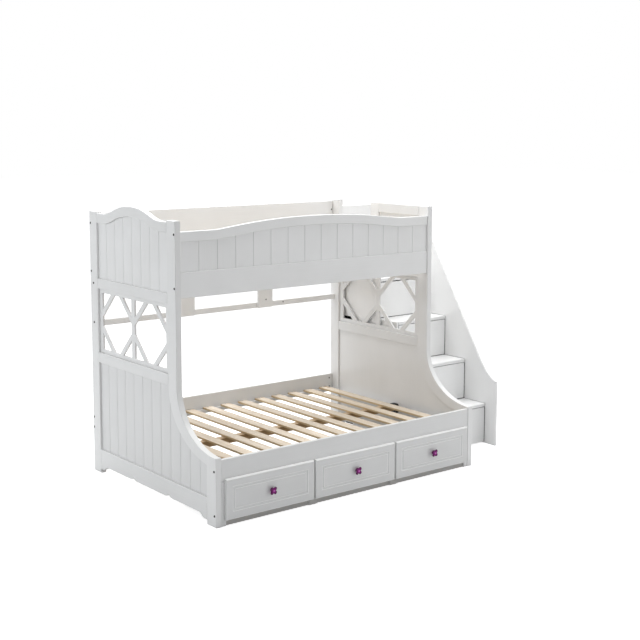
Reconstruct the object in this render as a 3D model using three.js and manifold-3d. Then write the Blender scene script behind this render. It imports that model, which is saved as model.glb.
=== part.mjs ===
// Twin over full bunk bed with a drawer staircase, in white lacquered boards and pine slats.
// Millimetres, +Z up. The open front faces -Y and the staircase stands at the +X end.
// Outlines are drawn in depth, which grows from the back of the bed to the front, and in height.

import * as THREE from 'three';
import { mergeVertices } from 'three/addons/utils/BufferGeometryUtils.js';
import Module from 'manifold-3d';

const wasm = await Module();
wasm.setup();

// Fits and edges shared by every board
const fit = 0.3;
const ease = 2;
const overrun = 5;
const curveSteps = 18;
const degrees = Math.PI / 180;

// Bed box, over the faces of the end panels
const bedLength = 2010;
const endThickness = 38;
const upperDepth = 1028;
const lowerDepth = 1427;
const postHeight = 1684;
const postWidth = 92;

// End panels: rails, fields of boards and the flare from the upper depth to the lower depth
const endRailWidth = 64;
const middleRailRise = 25;
const flareEndRise = 13;
const flareRailWidth = 62;
const fieldRecess = 12;
const sideBoards = 8;
const grooveWidth = 5;
const grooveDepth = 3;

// Arched rail over the left end
const headRailDrop = 10;
const headRailWidth = 60;
const headArchRise = 64;
const headArchHalfSpan = 340;
const headArchShares = { foot: 0.32, crown: 0.56 };

// Gate in the right end: the stairs come in behind this post, and a half field fills the rest
const gateDepth = 446;
const gatePostWidth = 82;
const gateRailWidth = 66;

// Scalloped rail along the floor at each end
const footRailTop = 155;
const apronClearance = 50;
const bracketStep = 26;
const bracketFlat = 30;
const bracketOgee = 55;
const cuspRise = 22;
const cuspHalfWidth = 45;
const cuspPlaceShares = [1 / 3, 2 / 3];
const cuspPinchShare = 0.25;

// Diamond lattice between the two end rails
const latticeHeight = 410;
const latticeThickness = 12;
const latticeEase = 1;
const latticeSideBorder = 39;
const latticeEdgeBorder = 25;
const latticeMullion = 40;
const latticeBar = 32;
const latticeFlat = 58;

// Upper bunk: side rail, field and arched cap at the front, plain guard and a braced frame behind
const sideRailThickness = 22;
const upperFrontSetback = 6;
const upperRailHeight = 150;
const guardFieldHeight = 175;
const capWidth = 59;
const capDrop = 63;
const capArchRise = 50;
const capArchHalfSpan = 735;
const capArchShares = { foot: 0.12, crown: 0.6 };
const guardFieldRecess = 7;
const guardBoards = 15;
const backGuardDrop = 12;
const backBarThickness = 24;
const backBarHeight = 38;
const backBarCorner = 16;
const backBarDrop = 28;
const strutWidth = 125;
const strutHeight = 300;
const strutThickness = 18;
const strutSpread = 650;

// Slats, the cleats that carry them and the beam under the middle of the lower ones
const slatCount = 13;
const slatWidth = 70;
const slatThickness = 14;
const slatMargin = 56;
const slatEndGap = 2;
const slatHousing = 1;
const cleatWidth = 22;
const cleatHeight = 26;
const upperCleatRise = 53;
const lowerCleatRise = 27;
const beamWidth = 45;
const beamHeight = 40;

// Lower bunk: side rails and the face frame round the three drawers
const lowerRailHeight = 128;
const lowerRailUnderside = 256;
const lowerFrontSetback = 3;
const toeRailTop = 96;
const toeRailSetback = 8;
const endStileWidth = 32;
const middleStileWidth = 58;
const dividerThickness = 18;
const runnerHeight = 24;

// Drawers under the bed
const bedDrawers = 3;
const bedFrontThickness = 20;
const bedFrontClearance = 37;
const bedFrontLap = 16;
const bedFrontMargin = 20;
const bedFrontGap = 12;
const mouldingInset = 46;
const mouldingWidth = 16;
const mouldingDepth = 3;
const bedBoxDepth = 480;
const bedBoxHeadroom = 30;
const bedBoxSideGap = 1.5;
const boxWall = 12;
const boxFloor = 6;

// Four-petal flower knob
const petalRadius = 13;
const petalSpread = 14;
const petalThickness = 9;
const knobEyeRadius = 8;
const knobStemRadius = 6;
const knobProjection = 24;
const petalSides = 12;
const petalRings = 8;

// Drawer staircase
const stairWidth = 490;
const stairPanelThickness = 18;
const steps = 4;
const landingDrop = 124;
const firstStepDepth = 1092;
const stepGoing = 202.3;
const treadThickness = 23;
const treadDepth = 460;
const stairGuardDepth = 1193;
const stairGuardToe = 455;
const stairGuardDrop = 54;
const stairGuardShoulder = 388;
const stairGuardKneeDepth = 988;
const stairGuardKneeHeight = 665;
const stairGuardToeRun = 88;
const stairGuardToeRise = 15;
const rearNotchDepth = 215;
const rearNotchHeight = 830;
const stairBaseUnderside = 20;
const stairBaseDepth = 560;
const stairFrontThickness = 18;
const stairFrontGap = 3;
const topFrontHandGap = 7;
const stairFloorGap = 10;
const stairBoxDepth = 400;
const stairBoxHeadroom = 60;
const stairBoxSideGap = 3;

// Places worked out from the sizes above
const innerLeft = endThickness;
const innerRight = bedLength - endThickness;
const bedMiddle = bedLength / 2;
const capTop = postHeight - capDrop;
const upperRailTopEdge = capTop - capWidth - guardFieldHeight;
const upperRailUnderside = upperRailTopEdge - upperRailHeight;
const upperCleatTop = upperRailUnderside + upperCleatRise;
const middleRailTop = upperRailUnderside + middleRailRise;
const middleRailBottom = middleRailTop - endRailWidth;
const latticeRailTop = middleRailBottom - latticeHeight;
const latticeRailBottom = latticeRailTop - endRailWidth;
const frontPostBack = upperDepth - postWidth;
const frontFootBack = lowerDepth - postWidth;
const sideBoardPitch = (frontPostBack - postWidth) / sideBoards;
const upperFrontFace = upperDepth - upperFrontSetback;
const lowerFrontFace = lowerDepth - lowerFrontSetback;
const lowerRailTopEdge = lowerRailUnderside + lowerRailHeight;
const flareTop = lowerRailTopEdge + flareEndRise;
const lowerCleatTop = lowerRailUnderside + lowerCleatRise;
const beamTop = lowerCleatTop - slatHousing - fit;
const beamUnderside = beamTop - beamHeight;
const bedBoxTop = lowerRailUnderside - bedBoxHeadroom;
const stepRise = (middleRailTop - landingDrop) / steps;
const overallLength = bedLength + fit + stairWidth;

const leftEnd = { name: 'left', low: 0, high: endThickness, outer: 0, grooveTurn: 90 * degrees };
const rightEnd = {
  name: 'right', low: innerRight, high: bedLength, outer: bedLength, grooveTurn: -90 * degrees,
};

const lacquer = { color: 0xf0f0ee, roughness: 0.42, metalness: 0 };
const pine = { color: 0xddc6a2, roughness: 0.62, metalness: 0 };
const knobFinish = { color: 0x8c1c7c, roughness: 0.25, metalness: 0 };

const bed = new THREE.Group();
bed.position.set(-overallLength / 2, (lowerFrontFace + bedFrontThickness + knobProjection + 2 * fit) / 2, 0);

function add(group, name, geometry, finish) {
  const mesh = new THREE.Mesh(geometry, new THREE.MeshStandardMaterial(finish));
  mesh.name = name;
  group.add(mesh);
  return mesh;
}

// Outlines and plates

function rectangle(uLow, uHigh, vLow, vHigh) {
  const outline = new THREE.Shape();
  outline.moveTo(uLow, vLow);
  outline.lineTo(uHigh, vLow);
  outline.lineTo(uHigh, vHigh);
  outline.lineTo(uLow, vHigh);
  return outline;
}

function polygon(points) {
  return new THREE.Path(points.map(([u, v]) => new THREE.Vector2(u, v)));
}

// A board of the outline, with its long edges eased, standing from 0 to its thickness
function plate(outline, thickness, edge = ease) {
  const board = new THREE.ExtrudeGeometry(outline, {
    depth: thickness - 2 * edge,
    bevelEnabled: edge > 0,
    bevelThickness: edge,
    bevelSize: edge,
    bevelOffset: -edge,
    bevelSegments: 1,
    curveSegments: curveSteps,
  });
  return board.translate(0, 0, edge);
}

// Outline in depth and height, thickness along X
function sidePlate(outline, xLow, xHigh, edge) {
  const turn = new THREE.Matrix4().makeBasis(
    new THREE.Vector3(0, -1, 0), new THREE.Vector3(0, 0, 1), new THREE.Vector3(-1, 0, 0),
  );
  return plate(outline, xHigh - xLow, edge).applyMatrix4(turn).translate(xHigh, 0, 0);
}

// Outline in X and height, thickness from one depth to a greater one
function frontPlate(outline, back, front, edge) {
  const turn = new THREE.Matrix4().makeBasis(
    new THREE.Vector3(1, 0, 0), new THREE.Vector3(0, 0, 1), new THREE.Vector3(0, -1, 0),
  );
  return plate(outline, front - back, edge).applyMatrix4(turn).translate(0, -back, 0);
}

// Board lying flat, from one depth to a greater one
function flatPlate(xLow, xHigh, back, front, zLow, zHigh, edge) {
  return plate(rectangle(xLow, xHigh, -front, -back), zHigh - zLow, edge).translate(0, 0, zLow);
}

function sideBoard(xLow, xHigh, back, front, zLow, zHigh) {
  return sidePlate(rectangle(back, front, zLow, zHigh), xLow, xHigh);
}

function frontBoard(xLow, xHigh, back, front, zLow, zHigh) {
  return frontPlate(rectangle(xLow, xHigh, zLow, zHigh), back, front);
}

function block(xLow, xHigh, back, front, zLow, zHigh) {
  const solid = new THREE.BoxGeometry(xHigh - xLow, front - back, zHigh - zLow);
  return solid.translate((xLow + xHigh) / 2, -(back + front) / 2, (zLow + zHigh) / 2);
}

// Joining and cutting

function toSolid(geometry) {
  const bare = geometry.clone();
  bare.deleteAttribute('normal');
  bare.deleteAttribute('uv');
  const welded = mergeVertices(bare);
  return new wasm.Manifold(new wasm.Mesh({
    numProp: 3,
    vertProperties: Float32Array.from(welded.attributes.position.array),
    triVerts: Uint32Array.from(welded.index.array),
  }));
}

function toGeometry(solid) {
  const mesh = solid.getMesh();
  const geometry = new THREE.BufferGeometry();
  geometry.setAttribute('position', new THREE.BufferAttribute(Float32Array.from(mesh.vertProperties), 3));
  geometry.setIndex(new THREE.BufferAttribute(Uint32Array.from(mesh.triVerts), 1));
  geometry.computeVertexNormals();
  return geometry;
}

function cut(geometry, cutters) {
  return toGeometry(cutters.reduce((left, cutter) => left.subtract(toSolid(cutter)), toSolid(geometry)));
}

function join(pieces) {
  return toGeometry(pieces.slice(1).reduce((sum, piece) => sum.add(toSolid(piece)), toSolid(pieces[0])));
}

// Shared curves

// Runs a flat edge over an arch: level, up to the crown and level again
function overArch(outline, arch, level, heading) {
  const from = arch.centre - heading * arch.halfSpan;
  const to = arch.centre + heading * arch.halfSpan;
  const foot = heading * arch.halfSpan * arch.shares.foot;
  const crown = heading * arch.halfSpan * arch.shares.crown;
  const top = level + arch.rise;
  outline.lineTo(from, level);
  outline.bezierCurveTo(from + foot, level, arch.centre - crown, top, arch.centre, top);
  outline.bezierCurveTo(arch.centre + crown, top, to - foot, level, to, level);
}

function archedRail(uLow, uHigh, arch, level, width) {
  const outline = new THREE.Shape();
  outline.moveTo(uLow, level - width);
  overArch(outline, arch, level - width, 1);
  outline.lineTo(uHigh, level - width);
  outline.lineTo(uHigh, level);
  overArch(outline, arch, level, -1);
  outline.lineTo(uLow, level);
  return outline;
}

function archedField(uLow, uHigh, bottom, arch, level) {
  const outline = new THREE.Shape();
  outline.moveTo(uLow, bottom);
  outline.lineTo(uHigh, bottom);
  outline.lineTo(uHigh, level);
  overArch(outline, arch, level, -1);
  outline.lineTo(uLow, level);
  return outline;
}

// V cut between two tongue-and-groove boards, along the height of a face turned by an angle
function boardGroove(turn, x, depth, zLow, zHigh) {
  const profile = new THREE.Shape();
  profile.moveTo(0, -grooveDepth);
  profile.lineTo(grooveWidth / 2, 0);
  profile.lineTo(grooveWidth / 2, overrun);
  profile.lineTo(-grooveWidth / 2, overrun);
  profile.lineTo(-grooveWidth / 2, 0);
  const cutter = new THREE.ExtrudeGeometry(profile, { depth: zHigh - zLow, bevelEnabled: false });
  return cutter.rotateZ(turn).translate(x, -depth, zLow);
}

// End panels

const headArch = {
  centre: upperDepth / 2, halfSpan: headArchHalfSpan, rise: headArchRise, shares: headArchShares,
};

// Ellipses of the flare: the outer edge of the post, and its inner edge down to the leg
const flareRun = lowerDepth - upperDepth;
const flareDrop = latticeRailBottom - flareTop;
const flareInnerRun = flareRun + postWidth;
const flareInnerDrop = flareDrop + flareRailWidth;
const flareLegAngle = Math.PI + Math.acos(postWidth / flareInnerRun);

function frontPostOutline() {
  const outline = new THREE.Shape();
  outline.moveTo(frontFootBack, 0);
  outline.lineTo(lowerDepth, 0);
  outline.lineTo(lowerDepth, flareTop);
  outline.absellipse(
    lowerDepth, latticeRailBottom, flareRun, flareDrop, 1.5 * Math.PI, Math.PI, true,
  );
  outline.lineTo(upperDepth, postHeight);
  outline.lineTo(frontPostBack, postHeight);
  outline.lineTo(frontPostBack, latticeRailBottom);
  outline.absellipse(
    lowerDepth, latticeRailBottom, flareInnerRun, flareInnerDrop, Math.PI, flareLegAngle, false,
  );
  return outline;
}

// The hollow that the flare leaves in front of the lower field, with its gap to the post
function flareHollow(end) {
  const outline = new THREE.Shape();
  outline.moveTo(lowerDepth, footRailTop);
  outline.lineTo(lowerDepth, latticeRailBottom);
  outline.absellipse(
    lowerDepth, latticeRailBottom, flareInnerRun + fit, flareInnerDrop + fit, Math.PI, flareLegAngle, false,
  );
  return sidePlate(outline, end.low - overrun, end.high + overrun, 0);
}

function endGrooves(end, fromDepth, toDepth, zLow, zHigh) {
  const face = end.outer + (end.outer === end.low ? fieldRecess : -fieldRecess);
  const cutters = [];
  for (let depth = postWidth + sideBoardPitch; depth < toDepth - grooveWidth; depth += sideBoardPitch) {
    if (depth > fromDepth + grooveWidth) {
      cutters.push(boardGroove(end.grooveTurn, face, depth, zLow - overrun, zHigh + overrun));
    }
  }
  return cutters;
}

function endField(end, outline) {
  return sidePlate(outline, end.low + fieldRecess, end.high - fieldRecess, 0);
}

function footRailOutline() {
  const back = postWidth + fit;
  const front = frontFootBack - fit;
  const ogee = bracketOgee / 2;
  const outline = new THREE.Shape();
  outline.moveTo(back, bracketStep);
  outline.lineTo(back + bracketFlat, bracketStep);
  outline.bezierCurveTo(
    back + bracketFlat + ogee, bracketStep,
    back + bracketFlat + ogee, apronClearance,
    back + bracketFlat + bracketOgee, apronClearance,
  );
  for (const share of cuspPlaceShares) {
    const centre = back + (front - back) * share;
    const pinch = cuspHalfWidth * cuspPinchShare;
    outline.lineTo(centre - cuspHalfWidth, apronClearance);
    outline.quadraticCurveTo(centre - pinch, apronClearance, centre, apronClearance + cuspRise);
    outline.quadraticCurveTo(centre + pinch, apronClearance, centre + cuspHalfWidth, apronClearance);
  }
  outline.lineTo(front - bracketFlat - bracketOgee, apronClearance);
  outline.bezierCurveTo(
    front - bracketFlat - ogee, apronClearance,
    front - bracketFlat - ogee, bracketStep,
    front - bracketFlat, bracketStep,
  );
  outline.lineTo(front, bracketStep);
  outline.lineTo(front, footRailTop);
  outline.lineTo(back, footRailTop);
  return outline;
}

// One lattice cell: an eight-sided opening with a triangle left in each corner
function latticeCell(uLow, uHigh, vLow, vHigh) {
  const uMiddle = (uLow + uHigh) / 2;
  const vMiddle = (vLow + vHigh) / 2;
  const half = latticeFlat / 2;
  const uLeg = uHigh - uMiddle - half;
  const vLeg = vHigh - vMiddle - half;
  const reach = (uLeg * vLeg) / Math.hypot(uLeg, vLeg);
  const left = (reach - latticeBar) / reach;
  const holes = [polygon([
    [uMiddle - half, vHigh], [uLow, vMiddle + half], [uLow, vMiddle - half], [uMiddle - half, vLow],
    [uMiddle + half, vLow], [uHigh, vMiddle - half], [uHigh, vMiddle + half], [uMiddle + half, vHigh],
  ])];
  for (const [u, uTurn] of [[uLow, 1], [uHigh, -1]]) {
    for (const [v, vTurn] of [[vLow, 1], [vHigh, -1]]) {
      const corner = [[u, v], [u + uTurn * uLeg * left, v], [u, v + vTurn * vLeg * left]];
      holes.push(polygon(uTurn * vTurn > 0 ? corner.reverse() : corner));
    }
  }
  return holes;
}

function latticeOutline() {
  const back = postWidth + fit;
  const front = frontPostBack - fit;
  const bottom = latticeRailTop + fit;
  const top = middleRailBottom - fit;
  const middle = (back + front) / 2;
  const outline = rectangle(back, front, bottom, top);
  const vLow = bottom + latticeEdgeBorder;
  const vHigh = top - latticeEdgeBorder;
  outline.holes.push(
    ...latticeCell(back + latticeSideBorder, middle - latticeMullion / 2, vLow, vHigh),
    ...latticeCell(middle + latticeMullion / 2, front - latticeSideBorder, vLow, vHigh),
  );
  return outline;
}

// What both ends share: posts, the two level rails, the lattice, the lower field and the foot rail
function addEndFrame(end) {
  const group = new THREE.Group();
  const lattice = (endThickness - latticeThickness) / 2;
  const rail = (bottom) => sideBoard(
    end.low, end.high, postWidth + fit, frontPostBack - fit, bottom, bottom + endRailWidth,
  );
  const fieldBottom = footRailTop + fit;
  const fieldTop = latticeRailBottom - fit;
  const lowerField = endField(
    end, rectangle(postWidth + fit, frontFootBack - fit, fieldBottom, fieldTop),
  );
  const cutters = [flareHollow(end), ...endGrooves(end, postWidth, frontFootBack, fieldBottom, fieldTop)];
  add(group, `${end.name}_back_post`, sideBoard(end.low, end.high, 0, postWidth, 0, postHeight), lacquer);
  add(group, `${end.name}_front_post`, sidePlate(frontPostOutline(), end.low, end.high), lacquer);
  add(group, `${end.name}_middle_rail`, rail(middleRailBottom), lacquer);
  add(group, `${end.name}_lattice`, sidePlate(
    latticeOutline(), end.low + lattice, end.high - lattice, latticeEase,
  ), lacquer);
  add(group, `${end.name}_lower_rail`, rail(latticeRailBottom), lacquer);
  add(group, `${end.name}_lower_panel`, cut(lowerField, cutters), lacquer);
  add(group, `${end.name}_foot_rail`, sidePlate(footRailOutline(), end.low, end.high), lacquer);
  bed.add(group);
  return group;
}

function addLeftEnd() {
  const end = leftEnd;
  const back = postWidth + fit;
  const front = frontPostBack - fit;
  const bottom = middleRailTop + fit;
  const headTop = postHeight - headRailDrop;
  const top = headTop - headRailWidth - fit;
  const field = endField(end, archedField(back, front, bottom, headArch, top));
  const grooves = endGrooves(end, postWidth, frontPostBack, bottom, top + headArchRise);
  const group = addEndFrame(end);
  const head = archedRail(back, front, headArch, headTop, headRailWidth);
  add(group, 'left_head_rail', sidePlate(head, end.low, end.high), lacquer);
  add(group, 'left_upper_panel', cut(field, grooves), lacquer);
}

function addRightEnd() {
  const end = rightEnd;
  const gateFront = gateDepth + gatePostWidth;
  const back = gateFront + fit;
  const front = frontPostBack - fit;
  const bottom = middleRailTop + fit;
  const railBottom = postHeight - gateRailWidth;
  const field = endField(end, rectangle(back, front, bottom, railBottom - fit));
  const grooves = endGrooves(end, gateFront, frontPostBack, bottom, railBottom);
  const group = addEndFrame(end);
  add(group, 'right_gate_post', sideBoard(
    end.low, end.high, gateDepth, gateFront, bottom, postHeight,
  ), lacquer);
  add(group, 'right_top_rail', sideBoard(end.low, end.high, back, front, railBottom, postHeight), lacquer);
  add(group, 'right_upper_panel', cut(field, grooves), lacquer);
}

// Upper bunk

function addUpperFront() {
  const group = new THREE.Group();
  const left = innerLeft + fit;
  const right = innerRight - fit;
  const back = upperFrontFace - sideRailThickness;
  const fieldBottom = upperRailTopEdge + fit;
  const fieldTop = capTop - capWidth - fit;
  const fieldFace = upperFrontFace - guardFieldRecess;
  const arch = { centre: bedMiddle, halfSpan: capArchHalfSpan, rise: capArchRise, shares: capArchShares };
  const field = frontPlate(
    archedField(left, right, fieldBottom, arch, fieldTop), back + guardFieldRecess, fieldFace, 0,
  );
  const grooves = [];
  for (let board = 1; board < guardBoards; board += 1) {
    const x = left + ((right - left) * board) / guardBoards;
    grooves.push(boardGroove(Math.PI, x, fieldFace, fieldBottom - overrun, fieldTop + capArchRise + overrun));
  }
  add(group, 'upper_front_rail', frontBoard(
    left, right, back, upperFrontFace, upperRailUnderside, upperRailTopEdge,
  ), lacquer);
  add(group, 'upper_front_panel', cut(field, grooves), lacquer);
  add(group, 'upper_front_cap', frontPlate(
    archedRail(left, right, arch, capTop, capWidth), back, upperFrontFace,
  ), lacquer);
  bed.add(group);
}

// Lower bar of the back frame, its two underside corners rounded off
function backBarOutline(left, right, bottom, corner) {
  const top = bottom + backBarHeight;
  const outline = new THREE.Shape();
  outline.moveTo(left + corner, bottom);
  outline.lineTo(right - corner, bottom);
  outline.quadraticCurveTo(right, bottom, right, bottom + corner);
  outline.lineTo(right, top);
  outline.lineTo(left, top);
  outline.lineTo(left, bottom + corner);
  outline.quadraticCurveTo(left, bottom, left + corner, bottom);
  return outline;
}

function addUpperBack() {
  const group = new THREE.Group();
  const left = innerLeft + fit;
  const right = innerRight - fit;
  const barBack = sideRailThickness + fit;
  const barFront = barBack + backBarThickness;
  const strutBack = barFront + fit;
  const upperBarBottom = upperRailUnderside - backBarDrop;
  const strutTop = upperBarBottom + backBarHeight;
  const strutBottom = strutTop - strutHeight;
  add(group, 'upper_back_guard', frontBoard(
    left, right, 0, sideRailThickness, upperRailUnderside, postHeight - backGuardDrop,
  ), lacquer);
  for (const [level, bottom] of [['lower', strutBottom], ['upper', upperBarBottom]]) {
    const outline = backBarOutline(left, right, bottom, backBarCorner);
    add(group, `back_frame_${level}_bar`, frontPlate(outline, barBack, barFront), lacquer);
  }
  for (const [side, turn] of [['left', -1], ['right', 1]]) {
    const centre = bedMiddle + (turn * strutSpread) / 2;
    add(group, `back_frame_${side}_strut`, frontBoard(
      centre - strutWidth / 2, centre + strutWidth / 2,
      strutBack, strutBack + strutThickness, strutBottom, strutTop,
    ), lacquer);
  }
  bed.add(group);
}

// Slats and what carries them

// Slats housed and screwed on two cleats, which lie along the inner faces of the side rails
function slatDeck(backRailFace, frontRailFace, cleatTop) {
  const first = innerLeft + slatMargin + slatWidth / 2;
  const pitch = (innerRight - slatMargin - slatWidth / 2 - first) / (slatCount - 1);
  const underside = cleatTop - slatHousing;
  const cleats = [backRailFace + fit, frontRailFace - fit - cleatWidth].map((edge) => block(
    innerLeft + fit, innerRight - fit, edge, edge + cleatWidth, cleatTop - cleatHeight, cleatTop,
  ));
  const slats = Array.from({ length: slatCount }, (_, slat) => {
    const centre = first + slat * pitch;
    return flatPlate(
      centre - slatWidth / 2, centre + slatWidth / 2,
      backRailFace + slatEndGap, frontRailFace - slatEndGap, underside, underside + slatThickness,
    );
  });
  return join([...cleats, ...slats]);
}

function addSlats() {
  const group = new THREE.Group();
  const middle = lowerDepth / 2;
  const upperFront = upperFrontFace - sideRailThickness;
  const lowerFront = lowerFrontFace - sideRailThickness;
  add(group, 'upper_slat_deck', slatDeck(sideRailThickness, upperFront, upperCleatTop), pine);
  add(group, 'lower_slat_deck', slatDeck(sideRailThickness, lowerFront, lowerCleatTop), pine);
  add(group, 'centre_beam', frontBoard(
    innerLeft - fieldRecess + fit, innerRight + fieldRecess - fit,
    middle - beamWidth / 2, middle + beamWidth / 2, beamUnderside, beamTop,
  ), pine);
  bed.add(group);
}

// Lower bunk and its face frame

const bedFrontPitch = (innerRight - innerLeft - 2 * bedFrontMargin + bedFrontGap) / bedDrawers;
const bedFrontWidth = bedFrontPitch - bedFrontGap;

const runnerReach = bedBoxSideGap + boxWall;
const runnerBack = lowerFrontFace - sideRailThickness - bedBoxDepth;

// Middle of the gap before a drawer front, counted from the left; the first and last are the ends
function bayEdge(bay) {
  return innerLeft + bedFrontMargin - bedFrontGap / 2 + bay * bedFrontPitch;
}

// The stile at each bay edge: its two sides
function stileSides(bay) {
  if (bay === 0) return [innerLeft + fit, innerLeft + fit + endStileWidth];
  if (bay === bedDrawers) return [innerRight - fit - endStileWidth, innerRight - fit];
  return [bayEdge(bay) - middleStileWidth / 2, bayEdge(bay) + middleStileWidth / 2];
}

// Strip under the side walls of a drawer box, as far as the given depth
function runner(xLow, xHigh, front) {
  return block(xLow, xHigh, runnerBack, front, toeRailTop - runnerHeight, toeRailTop);
}

// Stiles to the floor, the toe rail across them and the runners along the two end panels
function faceFrame(left, right, back) {
  const bays = Array.from({ length: bedDrawers + 1 }, (_, bay) => bay);
  return join([
    frontBoard(left, right, back, lowerFrontFace - toeRailSetback, 0, toeRailTop),
    ...bays.map((bay) => {
      const [low, high] = stileSides(bay);
      return frontBoard(low, high, back, lowerFrontFace, 0, lowerRailUnderside - fit);
    }),
    runner(left, stileSides(0)[1] + runnerReach, back + ease),
    runner(stileSides(bedDrawers)[0] - runnerReach, right, back + ease),
  ]);
}

// Upright board behind a middle stile, as deep as the drawers, with a runner on each side
function divider(bay, front) {
  const low = bayEdge(bay) - dividerThickness / 2;
  const high = bayEdge(bay) + dividerThickness / 2;
  const [stileLow, stileHigh] = stileSides(bay);
  return join([
    sideBoard(low, high, runnerBack, front, 0, bedBoxTop),
    runner(stileLow - runnerReach, low + ease, front),
    runner(high - ease, stileHigh + runnerReach, front),
  ]);
}

function addLowerBunk() {
  const group = new THREE.Group();
  const left = innerLeft + fit;
  const right = innerRight - fit;
  const back = lowerFrontFace - sideRailThickness;
  add(group, 'lower_front_rail', frontBoard(
    left, right, back, lowerFrontFace, lowerRailUnderside, lowerRailTopEdge,
  ), lacquer);
  add(group, 'lower_back_rail', frontBoard(
    left, right, 0, sideRailThickness, lowerRailUnderside, lowerRailTopEdge,
  ), lacquer);
  add(group, 'drawer_face_frame', faceFrame(left, right, back), lacquer);
  for (let bay = 1; bay < bedDrawers; bay += 1) {
    add(group, `drawer_divider_${bay}`, divider(bay, back - fit), lacquer);
  }
  bed.add(group);
}

// Drawers

// Open box of four walls and a floor, from one depth to a greater one
function drawerBox(xLow, xHigh, back, front, bottom, top) {
  const hollow = block(
    xLow + boxWall, xHigh - boxWall, back + boxWall, front - boxWall, bottom + boxFloor, top + overrun,
  );
  return cut(block(xLow, xHigh, back, front, bottom, top), [hollow]);
}

// Front with a routed rectangle of moulding
function mouldedFront(width, bottom, top, back, front) {
  const ring = rectangle(mouldingInset, width - mouldingInset, bottom + mouldingInset, top - mouldingInset);
  const island = mouldingInset + mouldingWidth;
  ring.holes.push(rectangle(island, width - island, bottom + island, top - island));
  const groove = frontPlate(ring, front - mouldingDepth, front + overrun, 0);
  return cut(frontPlate(rectangle(0, width, bottom, top), back, front), [groove]);
}

function flowerKnob(x, face, z) {
  const stemLength = knobProjection - petalThickness / 2;
  const bloom = face + knobProjection - petalThickness / 2;
  const stem = new THREE.CylinderGeometry(knobStemRadius, knobStemRadius, stemLength, petalSides);
  const petals = [45, 135, 225, 315].map((angle) => {
    const petal = new THREE.SphereGeometry(petalRadius, petalSides, petalRings);
    petal.rotateX(Math.PI / 2).scale(1, petalThickness / 2 / petalRadius, 1);
    const turn = angle * degrees;
    return petal.translate(x + petalSpread * Math.cos(turn), -bloom, z + petalSpread * Math.sin(turn));
  });
  const eye = new THREE.SphereGeometry(knobEyeRadius, petalSides, petalRings);
  eye.scale(1, petalThickness / 2 / knobEyeRadius, 1);
  return join([stem.translate(x, -(face + stemLength / 2), z), eye.translate(x, -bloom, z), ...petals]);
}

function addBedDrawer(bay) {
  const drawer = new THREE.Group();
  const back = lowerFrontFace + fit;
  const face = back + bedFrontThickness;
  const frontLeft = innerLeft + bedFrontMargin + (bay - 1) * bedFrontPitch;
  const boxLeft = stileSides(bay - 1)[1] + bedBoxSideGap - frontLeft;
  const boxRight = stileSides(bay)[0] - bedBoxSideGap - frontLeft;
  const boxFront = lowerFrontFace;
  const boxBottom = toeRailTop + fit;
  const frontTop = lowerRailUnderside + bedFrontLap;
  drawer.position.x = frontLeft;
  add(drawer, `bed_drawer_${bay}_front`, mouldedFront(
    bedFrontWidth, bedFrontClearance, frontTop, back, face,
  ), lacquer);
  add(drawer, `bed_drawer_${bay}_box`, drawerBox(
    boxLeft, boxRight, boxFront - bedBoxDepth, boxFront, boxBottom, bedBoxTop,
  ), lacquer);
  add(drawer, `bed_drawer_${bay}_knob`, flowerKnob(
    bedFrontWidth / 2, face + fit, (bedFrontClearance + frontTop) / 2,
  ), knobFinish);
  bed.add(drawer);
}

// Staircase

const stairLeft = bedLength + fit;
const stairRight = stairLeft + stairWidth;
const stairInnerLeft = stairLeft + stairPanelThickness + fit;
const stairInnerRight = stairRight - stairPanelThickness - fit;

function stepFront(step) {
  return firstStepDepth - (step - 1) * stepGoing;
}

function guardPanelOutline() {
  const outline = new THREE.Shape();
  outline.moveTo(0, 0);
  outline.lineTo(stairGuardDepth, 0);
  outline.lineTo(stairGuardDepth, stairGuardToe);
  outline.quadraticCurveTo(
    stairGuardDepth - stairGuardToeRun, stairGuardToe + stairGuardToeRise,
    stairGuardKneeDepth, stairGuardKneeHeight,
  );
  outline.lineTo(stairGuardShoulder, postHeight - stairGuardDrop);
  outline.lineTo(0, postHeight - stairGuardDrop);
  return outline;
}

// Board beside the bed: it follows the steps and is notched out behind the third one
function steppedPanelOutline() {
  const outline = new THREE.Shape();
  outline.moveTo(rearNotchDepth, 0);
  for (let step = 1; step <= steps; step += 1) {
    outline.lineTo(stepFront(step), (step - 1) * stepRise);
    outline.lineTo(stepFront(step), step * stepRise);
  }
  outline.lineTo(0, steps * stepRise);
  outline.lineTo(0, rearNotchHeight);
  outline.lineTo(rearNotchDepth, rearNotchHeight);
  return outline;
}

function addStairCase() {
  const group = new THREE.Group();
  const rearFace = stairPanelThickness;
  const tread = (step, back) => flatPlate(
    stairInnerLeft, stairInnerRight, back, stepFront(step),
    step * stepRise - treadThickness, step * stepRise,
  );
  const baseFront = stepFront(1) - stairFrontThickness - fit;
  add(group, 'stair_guard_panel', sidePlate(
    guardPanelOutline(), stairRight - stairPanelThickness, stairRight,
  ), lacquer);
  add(group, 'stair_bed_side_panel', sidePlate(
    steppedPanelOutline(), stairLeft, stairLeft + stairPanelThickness,
  ), lacquer);
  add(group, 'stair_rear_panel', frontBoard(
    stairInnerLeft, stairInnerRight, 0, rearFace, 0, postHeight - stairGuardDrop,
  ), lacquer);
  add(group, 'stair_landing', tread(steps, rearFace + fit), lacquer);
  for (let step = 1; step < steps; step += 1) {
    add(group, `stair_tread_${step}`, tread(step, stepFront(step) - treadDepth), lacquer);
  }
  add(group, 'stair_base', flatPlate(
    stairInnerLeft, stairInnerRight, baseFront - stairBaseDepth, baseFront,
    stairBaseUnderside, stairBaseUnderside + stairPanelThickness,
  ), lacquer);
  bed.add(group);
}

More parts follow.
